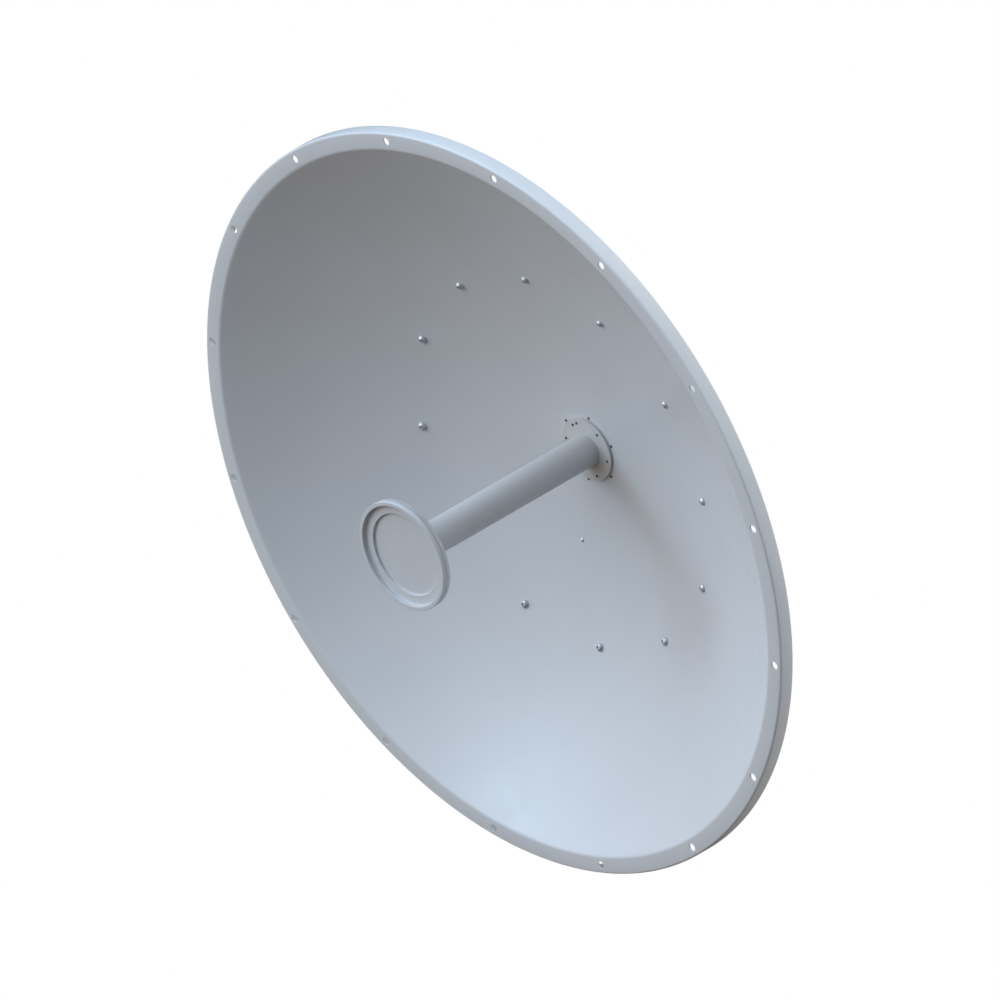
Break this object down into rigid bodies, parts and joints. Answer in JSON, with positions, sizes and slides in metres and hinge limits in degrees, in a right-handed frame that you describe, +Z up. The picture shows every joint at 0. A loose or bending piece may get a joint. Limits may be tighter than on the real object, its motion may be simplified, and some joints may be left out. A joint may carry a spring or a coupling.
{
  "type": "parabolic dish antenna",
  "caption": "Solid parabolic dish with a rod-fed subreflector, back ring, waveguide transducer and an offset pole mount that sets azimuth and elevation.",
  "frame": {"origin": "on the pole axis, midway along the length gripped by the two pole clamps and the support collar", "axes": "+Z up the pole; the antenna looks along -Y; +X is on the right of someone facing the dish"},
  "size_m": [1.05, 0.584, 1.05],
  "materials": {
    "dish_coat": "matte",
    "zinc_steel": "satin",
    "cast_alloy": "satin",
    "black_screws": "satin",
    "seal_rubber": "matte",
    "ptfe": "satin",
    "cover_plastic": "satin",
    "bronze": "satin",
    "plated_brass": "satin"
  },
  "bodies": {
    "pole_collar": {"collar_front": "cast_alloy", "collar_rear": "cast_alloy", "collar_bolts": "zinc_steel", "collar_nuts": "zinc_steel", "thrust_ring": "ptfe"},
    "pole_mount": {"pole_bracket": "zinc_steel", "pivot_bolt": "zinc_steel", "pivot_nut": "zinc_steel", "pivot_spacer": "zinc_steel", "clamp_saddles": "cast_alloy", "clamp_jaws": "cast_alloy", "clamp_bolts": "zinc_steel", "clamp_nuts": "zinc_steel"},
    "antenna": {"reflector": "dish_coat", "back_ring": "cast_alloy", "reflector_screws": "zinc_steel", "reflector_nuts": "zinc_steel", "bonding_rivet": "cast_alloy", "feed_tube": "dish_coat", "feed_flange": "dish_coat", "feed_gasket": "seal_rubber", "feed_screws": "black_screws", "index_pin": "black_screws", "hub_plate": "cast_alloy", "hub_screws": "black_screws", "omt_body": "cast_alloy", "omt_cover": "cast_alloy", "omt_cover_screws": "zinc_steel", "rf_connector_horizontal": "plated_brass", "rf_connector_vertical": "plated_brass", "connector_gaskets": "seal_rubber", "connector_screws": "zinc_steel", "signal_probes": "plated_brass", "subreflector": "cast_alloy", "dielectric_support": "ptfe", "subreflector_cover": "cover_plastic", "cover_seal": "seal_rubber", "mount_spine": "zinc_steel", "spine_bolts": "zinc_steel", "spine_nuts": "zinc_steel", "elevation_ears": "zinc_steel", "ear_bolts": "zinc_steel", "ear_nuts": "zinc_steel", "elevation_bushes": "bronze", "lock_bolts": "zinc_steel", "lock_nuts": "zinc_steel", "radio_bracket": "zinc_steel", "radio_bracket_bolts": "zinc_steel", "radio_bracket_nuts": "zinc_steel", "ground_screw": "plated_brass", "rod_pivot_pin": "zinc_steel", "rod_pin_clip": "black_screws"},
    "adjuster_rod": {"adjuster_rod": "zinc_steel"},
    "adjuster_trunnion": {"adjuster_trunnion": "zinc_steel", "trunnion_clip": "black_screws"},
    "adjuster_front_nut": {"adjuster_front_nut": "zinc_steel"},
    "adjuster_rear_nut": {"adjuster_rear_nut": "zinc_steel"}
  },
  "joints": [
    {"name": "azimuth", "type": "hinge", "parent": "pole_collar", "child": "pole_mount", "pos_m": [0, 0, 0], "axis": [0, 0, 1], "continuous": true},
    {"name": "elevation", "type": "hinge", "parent": "pole_mount", "child": "antenna", "pos_m": [0, -0.082, 0.095], "axis": [-1, 0, 0], "range_deg": [-15, 15]},
    {"name": "rod_swing", "type": "hinge", "parent": "antenna", "child": "adjuster_rod", "pos_m": [-0.061, -0.12304, -0.01776], "axis": [-1, 0, 0], "range_deg": [-7.6, 7.6]},
    {"name": "trunnion_swing", "type": "hinge", "parent": "pole_mount", "child": "adjuster_trunnion", "pos_m": [-0.061, -0.04096, -0.01776], "axis": [-1, 0, 0], "range_deg": [-7.6, 7.6]},
    {"name": "front_nut_spin", "type": "hinge", "parent": "adjuster_trunnion", "child": "adjuster_front_nut", "pos_m": [-0.061, -0.05596, -0.01776], "axis": [0, 1, 0], "continuous": true},
    {"name": "rear_nut_spin", "type": "hinge", "parent": "adjuster_trunnion", "child": "adjuster_rear_nut", "pos_m": [-0.061, -0.02596, -0.01776], "axis": [0, 1, 0], "continuous": true}
  ],
  "couplings": [
    {"joint": "rod_swing", "follows": "elevation", "ratio": -0.5},
    {"joint": "trunnion_swing", "follows": "elevation", "ratio": 0.5}
  ]
}
